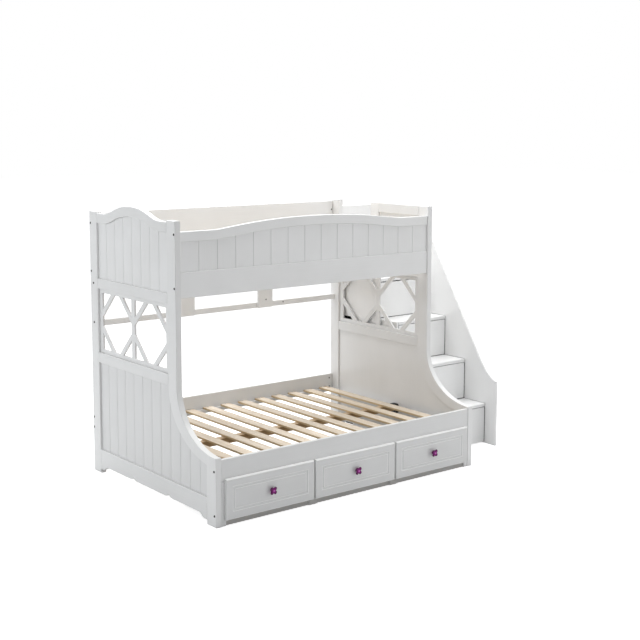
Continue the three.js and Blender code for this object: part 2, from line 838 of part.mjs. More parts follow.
function addStairDrawer(step) {
  const drawer = new THREE.Group();
  const bayTop = step * stepRise - treadThickness;
  const first = step === 1;
  const frontBottom = first ? stairFloorGap : (step - 1) * stepRise + stairFrontGap;
  const floor = first ? stairBaseUnderside + stairPanelThickness : (step - 1) * stepRise;
  const headGap = step === steps ? topFrontHandGap : stairFrontGap;
  const boxFront = -stairFrontThickness - fit;
  drawer.position.set(0, -stepFront(step), 0);
  add(drawer, `stair_drawer_${step}_front`, frontBoard(
    stairInnerLeft + stairFrontGap, stairInnerRight - stairFrontGap, -stairFrontThickness, 0,
    frontBottom, bayTop - headGap,
  ), lacquer);
  add(drawer, `stair_drawer_${step}_box`, drawerBox(
    stairInnerLeft + stairBoxSideGap, stairInnerRight - stairBoxSideGap,
    boxFront - stairBoxDepth, boxFront, floor + fit, bayTop - stairBoxHeadroom,
  ), lacquer);
  bed.add(drawer);
}

addLeftEnd();
addRightEnd();
addUpperFront();
addUpperBack();
addSlats();
addLowerBunk();
for (let bay = 1; bay <= bedDrawers; bay += 1) addBedDrawer(bay);
addStairCase();
for (let step = 1; step <= steps; step += 1) addStairDrawer(step);

export default bed;
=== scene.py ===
import math

import bmesh
import bpy
from mathutils import Matrix, Vector


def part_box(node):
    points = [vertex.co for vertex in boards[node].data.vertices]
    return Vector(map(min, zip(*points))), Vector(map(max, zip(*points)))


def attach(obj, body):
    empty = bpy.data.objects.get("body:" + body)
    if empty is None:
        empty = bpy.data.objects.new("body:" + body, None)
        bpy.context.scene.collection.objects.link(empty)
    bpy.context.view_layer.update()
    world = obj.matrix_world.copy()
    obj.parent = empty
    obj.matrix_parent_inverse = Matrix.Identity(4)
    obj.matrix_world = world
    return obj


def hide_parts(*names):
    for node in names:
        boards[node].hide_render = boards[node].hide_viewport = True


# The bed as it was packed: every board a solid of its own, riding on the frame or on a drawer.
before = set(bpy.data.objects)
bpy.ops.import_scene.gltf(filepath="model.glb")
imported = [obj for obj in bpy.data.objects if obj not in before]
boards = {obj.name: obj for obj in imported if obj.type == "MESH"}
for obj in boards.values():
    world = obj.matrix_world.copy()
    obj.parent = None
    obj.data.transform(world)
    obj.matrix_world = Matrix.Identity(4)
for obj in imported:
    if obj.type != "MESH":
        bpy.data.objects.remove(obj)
scene = bpy.context.scene
scene.view_settings.view_transform = "Standard"
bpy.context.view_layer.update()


# The camera stands to the left of the bed and looks down a little, as the photographer did.
# A small shift holds the bed low and left in the frame and keeps the posts upright.
camera = bpy.data.objects.new("camera", bpy.data.cameras.new("camera"))
scene.collection.objects.link(camera)
camera_place = (-4.739619, -5.98851, 2.229022)
camera_yaw, camera_pitch = 0.656004, 0.116338
camera.matrix_world = (
    Matrix.Translation(camera_place)
    @ Matrix.Rotation(-camera_yaw, 4, "Z")
    @ Matrix.Rotation(math.pi / 2 - camera_pitch, 4, "X")
)
film_width, picture_width, focal_pixels = 36, 640, 1179.15
shift_right, shift_up = 20, -58
camera.data.sensor_width = film_width
camera.data.lens = film_width * focal_pixels / picture_width
camera.data.shift_x = shift_right / picture_width
camera.data.shift_y = shift_up / picture_width
camera.data.clip_end = 90
scene.camera = camera


# The studio: a pale floor that runs out to white, an even sky and four soft lamps.
# One lamp hangs overhead, one beyond the stairs, one at the front right and one behind to the left.
def add_node(tree, kind, inputs=None, **settings):
    """One node of a tree, with its settings, and its inputs joined to sockets or set to values."""
    made = tree.nodes.new(kind)
    for key, value in settings.items():
        setattr(made, key, value)
    for socket, value in (inputs or {}).items():
        if isinstance(value, bpy.types.NodeSocket):
            tree.links.new(value, made.inputs[socket])
        else:
            made.inputs[socket].default_value = value
    return made


def blank_tree(material):
    """The emptied shader tree of a new material or sky."""
    material.use_nodes = True
    material.node_tree.nodes.clear()
    return material.node_tree


def worked_out(tree, operation, *values, **settings):
    """The outcome of one piece of arithmetic on one to three values or sockets."""
    return add_node(
        tree, "ShaderNodeMath", dict(enumerate(values)), operation=operation, **settings
    ).outputs[0]


def rays_to_white(tree):
    """1 for the rays that should find a white studio: seen straight on, mirrored or through glass."""
    seen = add_node(tree, "ShaderNodeLightPath").outputs
    straight = worked_out(tree, "MAXIMUM", seen["Is Camera Ray"], seen["Is Glossy Ray"])
    return worked_out(tree, "MAXIMUM", straight, seen["Is Transmission Ray"])


floor_half = 40
floor = bpy.data.objects.new("studio_floor", bpy.data.meshes.new("studio_floor"))
floor.data.from_pydata(
    [(-floor_half, -floor_half, 0), (floor_half, -floor_half, 0),
     (floor_half, floor_half, 0), (-floor_half, floor_half, 0)],
    [], [(0, 1, 2, 3)],
)
scene.collection.objects.link(floor)
floor.data.materials.append(bpy.data.materials.new("floor_paper"))
paper = blank_tree(floor.data.materials[0])
paper_matt = add_node(paper, "ShaderNodeBsdfDiffuse", {"Color": (0.68, 0.68, 0.68, 1)})
paper_lift = add_node(paper, "ShaderNodeEmission", {"Color": (1, 1, 1, 1), "Strength": 0.80})
paper_still = add_node(paper, "ShaderNodeEmission", {"Strength": 0.0})
paper_glow = add_node(
    paper, "ShaderNodeMixShader",
    {0: rays_to_white(paper), 1: paper_still.outputs[0], 2: paper_lift.outputs[0]},
)
paper_both = add_node(
    paper, "ShaderNodeAddShader", {0: paper_matt.outputs[0], 1: paper_glow.outputs[0]}
)
add_node(paper, "ShaderNodeOutputMaterial", {"Surface": paper_both.outputs[0]})

scene.world = bpy.data.worlds.new("studio_sky")
sky = blank_tree(scene.world)
sky_white = add_node(sky, "ShaderNodeBackground", {"Color": (1, 1, 1, 1), "Strength": 1.0})
sky_light = add_node(sky, "ShaderNodeBackground", {"Color": (0.97, 0.985, 1, 1), "Strength": 0.42})
sky_both = add_node(
    sky, "ShaderNodeMixShader",
    {0: rays_to_white(sky), 1: sky_light.outputs[0], 2: sky_white.outputs[0]},
)
add_node(sky, "ShaderNodeOutputWorld", {"Surface": sky_both.outputs[0]})


def hang_lamp(name, place, aim, size, watts, tint):
    """A square soft lamp at a place, turned to a point of the bed."""
    lamp = bpy.data.objects.new(name, bpy.data.lights.new(name, "AREA"))
    scene.collection.objects.link(lamp)
    lamp.data.size = size
    lamp.data.energy = watts
    lamp.data.color = tint
    lamp.location = place
    lamp.rotation_mode = "QUATERNION"
    lamp.rotation_quaternion = (Vector(aim) - Vector(place)).to_track_quat("-Z", "Y")


hang_lamp("overhead_lamp", (0.3, 0.8, 5.2), (0.1, 0.1, 0.8), size=4.5, watts=325, tint=(0.99, 0.995, 1))
hang_lamp("right_lamp", (6.5, 0.0, 3.0), (0.6, 0, 0.8), size=3.5, watts=85, tint=(1, 1, 1))
hang_lamp("front_lamp", (4.0, -4.5, 3.0), (0.6, 0, 0.8), size=3.5, watts=54, tint=(1, 1, 1))
hang_lamp("rear_lamp", (-5.9, 3.0, 3.0), (0, 0, 0.8), size=4.0, watts=108, tint=(0.95, 0.98, 1))


# The two end panels: solid posts, level rails, a diamond lattice and fields of grooved boards.
# Planed board, filled and sprayed with white satin lacquer, so the grain only just shows through.
# Low down, the inner faces of the lower field and of the foot rail are darkened with painted shade.
def noise(tree, places, scale, detail=2.0, roughness=0.5, distortion=0.0):
    """Cloudy noise over some places, from 0 to 1."""
    return add_node(
        tree, "ShaderNodeTexNoise",
        {"Vector": places, "Scale": scale, "Detail": detail, "Roughness": roughness,
         "Distortion": distortion},
    ).outputs["Fac"]


noise_ends = (0.3, 0.7)


def stretched(tree, places, grain, along, across):
    """Places scaled by one number along the grain and by another across it."""
    scales = tuple(along if axis == grain else across for axis in "xyz")
    return add_node(tree, "ShaderNodeMapping", {"Vector": places, "Scale": scales}).outputs[0]


def fitted(tree, value, old_ends, new_ends=(0.0, 1.0)):
    """A value carried from its old range over to a new one, and held inside it."""
    return add_node(
        tree, "ShaderNodeMapRange",
        {"Value": value, "From Min": old_ends[0], "From Max": old_ends[1],
         "To Min": new_ends[0], "To Max": new_ends[1]},
    ).outputs[0]


def blended(tree, share, first, second, way="MIX"):
    """The second colour laid on the first by a share, as a mix or as a product."""
    return add_node(
        tree, "ShaderNodeMix", {0: share, 6: first, 7: second}, data_type="RGBA", blend_type=way
    ).outputs[2]


def agreement(tree, first, second):
    """1 where two directions are the same, and 0 where they stand square to each other."""
    return add_node(
        tree, "ShaderNodeVectorMath", {0: first, 1: second}, operation="DOT_PRODUCT"
    ).outputs["Value"]


def close_shader(tree, relief, inputs, strength, depth, normal=None):
    """The end of a piece's shader tree: a bump from the relief, one surface, and the way out."""
    bump = add_node(
        tree, "ShaderNodeBump", {"Height": relief, "Strength": strength, "Distance": depth}
    )
    if normal:
        tree.links.new(normal, bump.inputs["Normal"])
    surface = add_node(tree, "ShaderNodeBsdfPrincipled", {**inputs, "Normal": bump.outputs[0]})
    add_node(tree, "ShaderNodeOutputMaterial", {"Surface": surface.outputs["BSDF"]})


def white_lacquer(name, grain, painted_light_level=1.0, lot=0.0, reach=0.010, corner_shade=0.86, wear_and_highlight=0.91, low_shade=None,
                  highlight_attribute_name=None):
    """White satin lacquer over board whose grain runs along one axis. The lot moves the pattern.

    Each piece's shade scales the whole colour: painted light and shade, lit and shaded copies of one
    white.
    Within reach of an inner corner the colour is darkened to the given share by painted shade.
    The arrises are painted paler, partly as wear and partly as painted highlight, and so are those
    that the mesh marks with the named attribute.
    The last darkening takes a height, a share, a direction and two ends: faces turned that way get
    painted shade below the height, between the two ends in X.
    """
    made = bpy.data.materials.new(name)
    tree = blank_tree(made)
    places = add_node(tree, "ShaderNodeTexCoord").outputs["Object"]
    moved = add_node(
        tree, "ShaderNodeMapping", {"Vector": places, "Location": (lot, lot * 0.7, lot * 1.3)}
    ).outputs[0]
    fibres = noise(
        tree, stretched(tree, moved, grain, along=3.5, across=150),
        scale=1.0, detail=6.0, roughness=0.65, distortion=0.3,
    )
    clouds = noise(tree, moved, scale=3.2, detail=3.0)
    spray = noise(tree, moved, scale=520.0, detail=1.5)
    grain_tone = fitted(tree, fibres, noise_ends)
    cloud_tone = fitted(tree, clouds, noise_ends)
    # Each piece's shade scales these coats: painted light and shade, lit and shaded copies of one white.
    dim_coat = (0.765 * painted_light_level, 0.765 * painted_light_level, 0.757 * painted_light_level, 1)
    full_coat = (0.80 * painted_light_level, 0.80 * painted_light_level, 0.795 * painted_light_level, 1)
    thick_coat = (0.822 * painted_light_level, 0.822 * painted_light_level, 0.82 * painted_light_level, 1)
    # Painted highlight on the arrises, partly wear.
    arris_wear_and_highlight = (wear_and_highlight * painted_light_level, wear_and_highlight * painted_light_level, wear_and_highlight * painted_light_level * 0.99, 1)
    coat = blended(tree, grain_tone, dim_coat, full_coat)
    clouded = blended(tree, cloud_tone, coat, thick_coat)
    rounded = add_node(tree, "ShaderNodeBevel", {"Radius": 0.0035}, samples=6).outputs[0]
    flat = add_node(tree, "ShaderNodeNewGeometry").outputs["Normal"]
    edge = fitted(tree, agreement(tree, rounded, flat), (1.0, 0.86))
    rubbed_and_highlit = worked_out(tree, "MULTIPLY", edge, grain_tone)
    if highlight_attribute_name:
        marked_highlight = add_node(tree, "ShaderNodeAttribute", attribute_name=highlight_attribute_name).outputs["Fac"]
        rubbed_and_highlit = worked_out(tree, "MAXIMUM", rubbed_and_highlit, marked_highlight)
    worn_and_highlit = blended(tree, rubbed_and_highlit, clouded, arris_wear_and_highlight)
    # Painted shade within reach of inner corners, taken from occlusion.
    corner_occlusion = add_node(tree, "ShaderNodeAmbientOcclusion", {"Distance": reach}, samples=4).outputs["AO"]
    corner_shading = fitted(tree, corner_occlusion, (0.25, 0.7), (corner_shade, 1.0))
    finished = blended(tree, 1.0, worn_and_highlit, corner_shading, "MULTIPLY")
    # Painted shade on low faces turned one way.
    if low_shade:
        height, share, way, (from_x, to_x) = low_shade
        soft_edge = 0.003
        axes = add_node(tree, "ShaderNodeSeparateXYZ", {0: places}).outputs
        under = fitted(tree, axes["Z"], (height + soft_edge, height - soft_edge))
        between = worked_out(tree, "COMPARE", axes["X"], (from_x + to_x) / 2, (to_x - from_x) / 2)
        low_between = worked_out(tree, "MULTIPLY", under, between)
        low_shade_mask = worked_out(
            tree, "MULTIPLY", low_between, agreement(tree, flat, way), use_clamp=True
        )
        shade_colour = (share * 0.80, share * 0.775, share * 0.74, 1)
        finished = blended(tree, low_shade_mask, finished, shade_colour)
    gloss = fitted(tree, clouds, noise_ends, (0.34, 0.46))
    relief = worked_out(tree, "MULTIPLY_ADD", spray, 0.4, fibres)
    close_shader(
        tree, relief,
        {"Base Color": finished, "Roughness": gloss, "Coat Weight": 0.15, "Coat Roughness": 0.2},
        strength=0.3, depth=0.00025, normal=rounded,
    )
    return made


def finish_board(node, material):
    """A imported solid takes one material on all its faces."""
    boards[node].data.materials.clear()
    boards[node].data.materials.append(material)


whole_width = (-2, 2)
low_shade_height, low_shade_share = 0.25, 0.70
# Each end's posts and fields take their own painted light and shade, and the foot rails' arrises a
# painted highlight.
for lot, (end, inward, post_painted_light, field_painted_light) in enumerate((
    ("left", (1, 0, 0), 0.98, 0.89), ("right", (-1, 0, 0), 1.0, 1.01),
)):
    inner_low_shade = (low_shade_height, low_shade_share, inward, whole_width)
    post_lacquer = white_lacquer(f"{end}_post_lacquer", "z", post_painted_light, lot + 0.1)
    rail_lacquer = white_lacquer(f"{end}_rail_lacquer", "y", 0.95, lot + 0.3, wear_and_highlight=1.0)
    foot_lacquer = white_lacquer(
        f"{end}_foot_lacquer", "y", 0.95, lot + 0.4, corner_shade=1.0, wear_and_highlight=1.25, low_shade=inner_low_shade
    )
    field_lacquer = white_lacquer(
        f"{end}_field_lacquer", "z", field_painted_light, lot + 0.5, corner_shade=0.97, low_shade=inner_low_shade
    )
    upper_lacquer = white_lacquer(f"{end}_upper_field_lacquer", "z", 0.99, lot + 0.6, corner_shade=0.97)
    lattice_lacquer = white_lacquer(f"{end}_lattice_lacquer", "z", 0.97, lot + 0.7)
    for piece in ("back_post", "front_post"):
        finish_board(f"{end}_{piece}", post_lacquer)
    for piece in ("middle_rail", "lower_rail"):
        finish_board(f"{end}_{piece}", rail_lacquer)
    finish_board(f"{end}_foot_rail", foot_lacquer)
    finish_board(f"{end}_lower_panel", field_lacquer)
    finish_board(f"{end}_upper_panel", upper_lacquer)
    finish_board(f"{end}_lattice", lattice_lacquer)
    if end == "left":
        finish_board("left_head_rail", rail_lacquer)
    else:
        finish_board("right_top_rail", rail_lacquer)
        finish_board("right_gate_post", post_lacquer)


# The bolts that draw the rails, the bars and the guard against the end panels, put in from outside.
# Blackened steel: low round heads with a hexagon socket, which stand a little proud of the outer faces.
def grown_mesh(name, tree, sizes, places=((0, 0, 0),)):
    """The mesh of one material that a geometry tree grows over some places with the sizes given."""
    seeds = bpy.data.meshes.new(name)
    seeds.from_pydata([tuple(place) for place in places], [], [])
    grower = bpy.data.objects.new(name + "_grower", seeds)
    scene.collection.objects.link(grower)
    modifier = grower.modifiers.new("grow", "NODES")
    modifier.node_group = tree
    for item in tree.interface.items_tree:
        if item.in_out == "INPUT" and item.name in sizes:
            modifier[item.identifier] = sizes[item.name]
    ready = grower.evaluated_get(bpy.context.evaluated_depsgraph_get())
    mesh = bpy.data.meshes.new_from_object(ready)
    bpy.data.objects.remove(grower)
    bpy.data.meshes.remove(seeds)
    mesh.name = name
    grown = [material for material in mesh.materials if material]
    mesh.materials.clear()
    mesh.materials.append(grown[0])
    for face in mesh.polygons:
        face.material_index = 0
    return mesh


def open_tree(name, sockets):
    """A new geometry tree with its named inputs, and the sockets that they come in on."""
    tree = bpy.data.node_groups.new(name, "GeometryNodeTree")
    tree.interface.new_socket("Geometry", in_out="OUTPUT", socket_type="NodeSocketGeometry")
    tree.interface.new_socket("Geometry", in_out="INPUT", socket_type="NodeSocketGeometry")
    for label, kind in sockets:
        tree.interface.new_socket(label, in_out="INPUT", socket_type=f"NodeSocket{kind}")
    return tree, add_node(tree, "NodeGroupInput").outputs


def close_tree(tree, geometry, material):
    """The end of every geometry tree: real meshes, one material, and the way out."""
    real = add_node(tree, "GeometryNodeRealizeInstances", {"Geometry": geometry}).outputs[0]
    coated = add_node(
        tree, "GeometryNodeSetMaterial", {"Geometry": real, "Material": material}
    ).outputs[0]
    add_node(tree, "NodeGroupOutput", {0: coated})


def place_piece(name, mesh, body, stands_for=()):
    """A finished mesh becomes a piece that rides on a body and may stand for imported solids."""
    piece = bpy.data.objects.new(name, mesh)
    scene.collection.objects.link(piece)
    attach(piece, body)
    if stands_for:
        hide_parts(*stands_for)


head_tree, head_in = open_tree(
    "socket_heads",
    (("Radius", "Float"), ("Rise", "Float"), ("Socket", "Float"), ("Sides", "Int"),
     ("Facing", "Vector"), ("Steel", "Material")),
)
head_top = worked_out(head_tree, "MULTIPLY", head_in["Radius"], 0.8)
head_disc = add_node(
    head_tree, "GeometryNodeMeshCone",
    {"Vertices": 20, "Radius Bottom": head_in["Radius"], "Radius Top": head_top,
     "Depth": head_in["Rise"]},
).outputs["Mesh"]
socket_bar = add_node(
    head_tree, "GeometryNodeMeshCylinder",
    {"Vertices": head_in["Sides"], "Radius": head_in["Socket"], "Depth": head_in["Rise"]},
).outputs["Mesh"]
socket_rise = worked_out(head_tree, "MULTIPLY", head_in["Rise"], 0.3)
socket_lift = add_node(head_tree, "ShaderNodeCombineXYZ", {"Z": socket_rise}).outputs[0]
socket_high = add_node(
    head_tree, "GeometryNodeTransform", {"Geometry": socket_bar, "Translation": socket_lift}
).outputs[0]
head_cut = add_node(
    head_tree, "GeometryNodeMeshBoolean", {"Mesh 1": head_disc, "Mesh 2": socket_high},
    operation="DIFFERENCE",
).outputs["Mesh"]
head_spots = add_node(
    head_tree, "GeometryNodeInstanceOnPoints",
    {"Points": head_in["Geometry"], "Instance": head_cut, "Rotation": head_in["Facing"]},
).outputs[0]
close_tree(head_tree, head_spots, head_in["Steel"])


def dark_steel(name, tone, rough):
    """Blackened or plated steel: mottled, with rubbed bright spots."""
    made = bpy.data.materials.new(name)
    tree = blank_tree(made)
    places = add_node(tree, "ShaderNodeTexCoord").outputs["Object"]
    mottle = noise(tree, places, scale=900.0, detail=4.0)
    spots = fitted(tree, mottle, (0.42, 0.72))
    dull = (tone, tone, tone * 1.02, 1)
    bright = (tone * 2.2, tone * 2.15, tone * 2.1, 1)
    colour = blended(tree, spots, dull, bright)
    gloss = fitted(tree, mottle, noise_ends, (rough, rough + 0.18))
    close_shader(
        tree, mottle, {"Base Color": colour, "Roughness": gloss, "Metallic": 0.9},
        strength=0.3, depth=0.0001,
    )
    return made


black_steel = dark_steel("black_bolt_steel", tone=0.018, rough=0.38)
quarter = math.pi / 2
left_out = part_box("left_back_post")[0].x
right_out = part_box("right_back_post")[1].x
back_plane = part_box("left_back_post")[1].y
bolt_places = ((0.012, 1.609), (0.012, 1.302), (0.040, 1.228), (0.040, 0.976), (0.012, 0.354),
               (0.012, 0.288), (1.016, 1.607), (1.016, 1.297), (1.410, 0.319), (1.411, 0.066))
for end, out, facing in (("left", left_out, -quarter), ("right", right_out, quarter)):
    heads = grown_mesh(
        f"{end}_end_bolts", head_tree,
        {"Radius": 0.0072, "Rise": 0.0022, "Socket": 0.0034, "Sides": 6,
         "Facing": (0, facing, 0), "Steel": black_steel},
        [(out, back_plane - depth, height) for depth, height in bolt_places],
    )
    place_piece(f"{end}_end_bolts", heads, "bed_frame")


# The upper bunk: a side rail, a grooved field and an arched cap at the front, a plain guard behind.
# Two level bars run from end to end below the guard, tied by two short boards on their inner faces.
# Each piece's shade here is painted light and shade; the back frame is raised as painted light.
for lot, (piece, grain, painted_light_level) in enumerate((
    ("upper_front_rail", "x", 1.03), ("upper_front_cap", "x", 1.03), ("upper_back_guard", "x", 1.0),
    ("upper_front_panel", "z", 1.03), ("back_frame_upper_bar", "x", 1.12),
    ("back_frame_lower_bar", "x", 1.12), ("back_frame_left_strut", "z", 1.12),
    ("back_frame_right_strut", "z", 1.12),
)):
    finish_board(piece, white_lacquer(f"{piece}_lacquer", grain, painted_light_level, 2.0 + lot, wear_and_highlight=0.88))


# The slats of both bunks: thirteen planed pine boards, laid across and screwed to the cleats.
# Each is a board of its own, so its tone and its rings differ a little from its neighbour's.
def bare_pine(name, grain, pale, deep, tone_name=None):
    """Planed pine, unfinished: pale wood, deeper rings along the board, fine pores and a few knots.

    The sides, where the normal lies level, are darkened with painted shade.
    """
    made = bpy.data.materials.new(name)
    tree = blank_tree(made)
    places = add_node(tree, "ShaderNodeTexCoord").outputs["Object"]
    if tone_name:
        tone = add_node(tree, "ShaderNodeAttribute", attribute_name=tone_name).outputs["Fac"]
    else:
        tone = noise(tree, places, scale=0.9)
    shuffle = add_node(tree, "ShaderNodeCombineXYZ", {"X": tone, "Y": tone, "Z": tone}).outputs[0]
    board_shift = (7.0, 9.0, 5.0)
    shuffled = add_node(
        tree, "ShaderNodeVectorMath", {0: shuffle, 1: board_shift, 2: places},
        operation="MULTIPLY_ADD",
    ).outputs[0]
    rings = noise(
        tree, stretched(tree, shuffled, grain, along=1.1, across=42),
        scale=1.0, detail=5.0, roughness=0.55, distortion=0.6,
    )
    pores = noise(
        tree, stretched(tree, shuffled, grain, along=14, across=700), scale=1.0, detail=3.0
    )
    knots = add_node(
        tree, "ShaderNodeTexVoronoi",
        {"Vector": stretched(tree, shuffled, grain, along=2.4, across=11.0), "Scale": 1.0},
    ).outputs["Distance"]
    knot_core = fitted(tree, knots, (0.06, 0.13), (0.7, 0.0))
    ring_tone = fitted(tree, rings, (0.32, 0.68))
    wood = blended(tree, ring_tone, (*pale, 1), (*deep, 1))
    board_tone = fitted(tree, tone, (0.0, 1.0), (0.90, 1.06))
    toned = blended(tree, 1.0, wood, board_tone, "MULTIPLY")
    pore_tone = fitted(tree, pores, noise_ends, (0.94, 1.03))
    pored = blended(tree, 1.0, toned, pore_tone, "MULTIPLY")
    knot_brown = (0.34, 0.19, 0.09, 1)
    knotted = blended(tree, knot_core, pored, knot_brown)
    # Painted shade on the sides.
    facing = add_node(tree, "ShaderNodeNewGeometry").outputs["Normal"]
    upward = add_node(tree, "ShaderNodeSeparateXYZ", {0: facing}).outputs["Z"]
    level = worked_out(tree, "ABSOLUTE", upward)
    side_shade = fitted(tree, level, (0.4, 0.9), (1.0, 0.0))
    shade_colour = (deep[0] * 0.92, deep[1] * 0.82, deep[2] * 0.62, 1)
    side_shaded = blended(tree, side_shade, knotted, shade_colour)
    rough = fitted(tree, rings, noise_ends, (0.62, 0.5))
    relief = worked_out(tree, "MULTIPLY_ADD", rings, 0.5, pores)
    close_shader(
        tree, relief, {"Base Color": side_shaded, "Roughness": rough}, strength=0.35, depth=0.0003
    )
    return made


slat_tree, slat_in = open_tree(
    "slat_row",
    (("Slats", "Int"), ("Pitch", "Float"), ("Length", "Float"), ("Width", "Float"),
     ("Thickness", "Float"), ("Edge", "Float"), ("Seed", "Int"), ("Wood", "Material")),
)
slat_step = add_node(slat_tree, "ShaderNodeCombineXYZ", {"X": slat_in["Pitch"]}).outputs[0]
slat_row = add_node(
    slat_tree, "GeometryNodeMeshLine", {"Count": slat_in["Slats"], "Offset": slat_step}
).outputs[0]
slat_back = worked_out(slat_tree, "MULTIPLY", slat_in["Length"], -1.0)
slat_end = add_node(slat_tree, "ShaderNodeCombineXYZ", {"Y": slat_back}).outputs[0]
slat_spine = add_node(
    slat_tree, "GeometryNodeCurvePrimitiveLine", {"Start": (0, 0, 0), "End": slat_end}
).outputs[0]
slat_section = add_node(
    slat_tree, "GeometryNodeCurvePrimitiveQuadrilateral",
    {"Width": slat_in["Width"], "Height": slat_in["Thickness"]},
).outputs[0]
slat_rounded = add_node(
    slat_tree, "GeometryNodeFilletCurve",
    {"Curve": slat_section, "Count": 3, "Radius": slat_in["Edge"], "Limit Radius": True},
    mode="POLY",
).outputs[0]
slat_board = add_node(
    slat_tree, "GeometryNodeCurveToMesh",
    {"Curve": slat_spine, "Profile Curve": slat_rounded, "Fill Caps": True},
).outputs[0]
slat_laid = add_node(
    slat_tree, "GeometryNodeInstanceOnPoints", {"Points": slat_row, "Instance": slat_board}
).outputs[0]
slat_tone = add_node(
    slat_tree, "FunctionNodeRandomValue", {2: 0.0, 3: 1.0, "Seed": slat_in["Seed"]},
    data_type="FLOAT",
).outputs[1]
slat_marked = add_node(
    slat_tree, "GeometryNodeStoreNamedAttribute",
    {"Geometry": slat_laid, "Name": "slat_tone", "Value": slat_tone},
    data_type="FLOAT", domain="INSTANCE",
).outputs[0]
close_tree(slat_tree, slat_marked, slat_in["Wood"])


def shaped_mesh(name, shape, material):
    """A worked shape as a mesh of one material. The shape itself is given up."""
    mesh = bpy.data.meshes.new(name)
    shape.to_mesh(mesh)
    shape.free()
    mesh.materials.append(material)
    return mesh


def sawn_board(name, low, high, edge, material):
    """A board between two corners, with its edges eased by a small round."""
    shape = bmesh.new()
    bmesh.ops.create_cube(shape, size=1.0)
    size = Vector(high) - Vector(low)
    middle = (Vector(high) + Vector(low)) / 2
    bmesh.ops.scale(shape, vec=size, verts=shape.verts)
    bmesh.ops.translate(shape, vec=middle, verts=shape.verts)
    bmesh.ops.bevel(
        shape, geom=list(shape.edges), offset=edge, segments=2, profile=0.5, affect="EDGES"
    )
    return shaped_mesh(name, shape, material)


def joined_mesh(name, meshes):
    """Several meshes of one piece as a single mesh, with the first one's material."""
    shape = bmesh.new()
    for mesh in meshes:
        shape.from_mesh(mesh)
    return shaped_mesh(name, shape, meshes[0].materials[0])


slat_count = 13
slat_width, slat_thickness, slat_edge = 0.07, 0.014, 0.0022
slat_inset = 0.0907
slat_end_gap = 0.0017
cleat_width, cleat_height, cleat_edge = 0.022, 0.026, 0.0015
slat_pine = bare_pine(
    "slat_pine", "y", pale=(0.785, 0.70, 0.59), deep=(0.635, 0.525, 0.395), tone_name="slat_tone"
)
cleat_lacquer = white_lacquer("cleat_lacquer", "x", 0.98, 12.0)
screw_steel = dark_steel("screw_steel", tone=0.30, rough=0.30)
first_seed = 7
for seed, bunk in enumerate(("upper", "lower"), first_seed):
    low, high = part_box(f"{bunk}_slat_deck")
    first_slat = low.x + slat_inset
    slat_pitch = (high.x - slat_inset - first_slat) / (slat_count - 1)
    slat_length = high.y - low.y - 2 * slat_end_gap
    slats = grown_mesh(
        f"{bunk}_slats", slat_tree,
        {"Slats": slat_count, "Pitch": slat_pitch, "Length": slat_length, "Width": slat_width,
         "Thickness": slat_thickness, "Edge": slat_edge, "Seed": seed, "Wood": slat_pine},
    )
    slat_start = (first_slat, high.y - slat_end_gap, high.z - slat_thickness / 2)
    slats.transform(Matrix.Translation(slat_start))
    place_piece(f"{bunk}_slats", slats, "bed_frame", [f"{bunk}_slat_deck"])
    cleats = joined_mesh(f"{bunk}_slat_cleats", [
        sawn_board("cleat", (low.x, edge, low.z), (high.x, edge + cleat_width, low.z + cleat_height),
                   cleat_edge, cleat_lacquer)
        for edge in (low.y, high.y - cleat_width)
    ])
    place_piece(f"{bunk}_slat_cleats", cleats, "bed_frame", [f"{bunk}_slat_deck"])
    screw_rows = (low.y + cleat_width / 2, high.y - cleat_width / 2)
    screws = grown_mesh(
        f"{bunk}_slat_screws", head_tree,
        {"Radius": 0.0042, "Rise": 0.0009, "Socket": 0.0019, "Sides": 4, "Facing": (0, 0, 0),
         "Steel": screw_steel},
        [(first_slat + slat * slat_pitch, row, high.z) for slat in range(slat_count)
         for row in screw_rows],
    )
    place_piece(f"{bunk}_slat_screws", screws, "bed_frame")


# The lower bunk: deep side rails, a face frame round the drawers and two boards between them.
# The face frame stands behind the drawer fronts; its toe rail is darkened with painted shade.
# The rails' shades are painted light and shade, and the face frame's corners take painted shade.
for lot, (piece, painted_light_level) in enumerate((("lower_front_rail", 0.90), ("lower_back_rail", 0.97))):
    finish_board(
        piece, white_lacquer(f"{piece}_lacquer", "x", painted_light_level, 14.0 + lot, corner_shade=1.0, wear_and_highlight=1.05)
    )
face_low, face_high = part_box("drawer_face_frame")
end_stile = 0.033
toe_shade_height, toe_shade_share = 0.085, 0.54
toe_ends = (face_low.x + end_stile, face_high.x - end_stile)
finish_board(
    "drawer_face_frame",
    white_lacquer(
        "drawer_face_frame_lacquer", "x", 0.93, 16.0, corner_shade=0.6,
        low_shade=(toe_shade_height, toe_shade_share, (0, -1, 0), toe_ends),
    ),
)
for lot, piece in enumerate(("drawer_divider_1", "drawer_divider_2")):
    finish_board(piece, white_lacquer(f"{piece}_lacquer", "y", 0.95, 18.0 + lot))


# A sawn pine beam runs under the middle of the slats, its ends let into sockets; its pine is painted dark
# as painted shade.
# Each socket is a black moulded cup with a rounded top, screwed to the end panel from inside.
shaded_beam_pine = bare_pine("shaded_beam_pine", "x", pale=(0.64, 0.49, 0.32), deep=(0.48, 0.34, 0.21))
finish_board("centre_beam", shaded_beam_pine)


